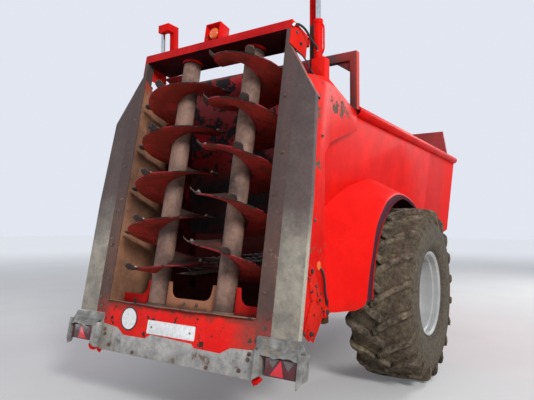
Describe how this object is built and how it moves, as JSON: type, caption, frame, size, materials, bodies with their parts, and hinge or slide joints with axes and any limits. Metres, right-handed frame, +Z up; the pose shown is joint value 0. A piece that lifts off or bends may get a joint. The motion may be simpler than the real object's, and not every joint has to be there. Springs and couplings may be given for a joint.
{
  "type": "manure spreader",
  "caption": "Towed manure spreader with a flared hopper, raised rear door, twin upright beaters in a leaning frame, large wheels and a drawbar with jack.",
  "frame": {"origin": "on the ground, at the middle of the machine's length and width", "axes": "+X to the right as seen from behind, +Y forward to the hitch, +Z up"},
  "size_m": [2.981, 7.7388, 3.7],
  "materials": {
    "red_paint": "bright red paint, faded and muddy",
    "red_worn": "red paint worn through to dark steel",
    "galvanised": "galvanised steel, weathered",
    "bare_steel": "bare steel, brown and polished by use",
    "dark_steel": "dark oily steel",
    "tyre_rubber": "muddy rubber",
    "rim_silver": "silver paint",
    "chrome_rod": "polished",
    "lamp_red": "clear red lens",
    "lens_amber": "clear amber lens",
    "plate_white": "white plate",
    "guard_plastic": "yellow guard tube"
  },
  "bodies": {
    "machine": {"chassis_frame": "red_paint", "axle": "red_paint", "drawbar": "red_paint", "hitch_eye": "bare_steel", "jack_sleeve": "red_paint", "front_gearbox": "dark_steel", "driveline": "guard_plastic", "rear_gearcase": "red_worn", "floor": "bare_steel", "conveyor": "dark_steel", "conveyor_shaft": "red_worn", "side_wall_left": "red_paint", "side_wall_right": "red_paint", "fender_left": "red_paint", "fender_right": "red_paint", "rails": "red_paint", "hoop": "red_worn", "front_wall": "red_paint", "headboard": "red_worn", "rear_plate_left": "red_paint", "rear_plate_right": "red_paint", "chamber_walls": "bare_steel", "posts": "bare_steel", "wings": "galvanised", "top_beam": "red_paint", "deck": "bare_steel", "guard": "red_worn", "apron": "red_paint", "bumper": "galvanised", "number_plate": "plate_white", "speed_disc": "plate_white", "light_brackets": "galvanised", "tail_lamps": "lamp_red", "beacon_box": "red_paint", "beacon_lens": "lens_amber", "cylinders": "red_paint"},
    "door": {"door_panel": "red_worn", "door_arms": "red_paint", "rods": "chrome_rod"},
    "beater_left": {"beater_shaft_left": "bare_steel", "beater_flight_left": "red_worn"},
    "beater_right": {"beater_shaft_right": "bare_steel", "beater_flight_right": "red_worn"},
    "wheel_left": {"tyre_left": "tyre_rubber", "rim_left": "rim_silver"},
    "wheel_right": {"tyre_right": "tyre_rubber", "rim_right": "rim_silver"},
    "jack": {"jack_leg": "galvanised"},
    "input_shaft": {"input_shaft": "bare_steel"}
  },
  "joints": [
    {"name": "wheel_left_turn", "type": "hinge", "parent": "machine", "child": "wheel_left", "pos_m": [-1.168, -1.4246, 0.885], "axis": [1, 0, 0], "continuous": true},
    {"name": "wheel_right_turn", "type": "hinge", "parent": "machine", "child": "wheel_right", "pos_m": [1.168, -1.4246, 0.885], "axis": [1, 0, 0], "continuous": true},
    {"name": "beater_right_spin", "type": "hinge", "parent": "machine", "child": "beater_right", "pos_m": [0.369, -3.51367, 0.86689], "axis": [0, 0.184, 0.9829], "continuous": true},
    {"name": "beater_left_spin", "type": "hinge", "parent": "machine", "child": "beater_left", "pos_m": [-0.369, -3.51367, 0.86689], "axis": [0, 0.184, 0.9829], "continuous": true},
    {"name": "input_shaft_spin", "type": "hinge", "parent": "machine", "child": "input_shaft", "pos_m": [0, 2.1094, 0.72], "axis": [0, 1, 0], "continuous": true},
    {"name": "door_lift", "type": "slide", "parent": "machine", "child": "door", "axis": [0, 0, 1], "range_m": [-0.24, 0.8]},
    {"name": "jack_raise", "type": "slide", "parent": "machine", "child": "jack", "axis": [0, 0, 1], "range_m": [0, 0.4]}
  ],
  "couplings": [
    {"joint": "beater_left_spin", "follows": "beater_right_spin", "ratio": -1},
    {"joint": "input_shaft_spin", "follows": "beater_right_spin", "ratio": 2.5}
  ]
}
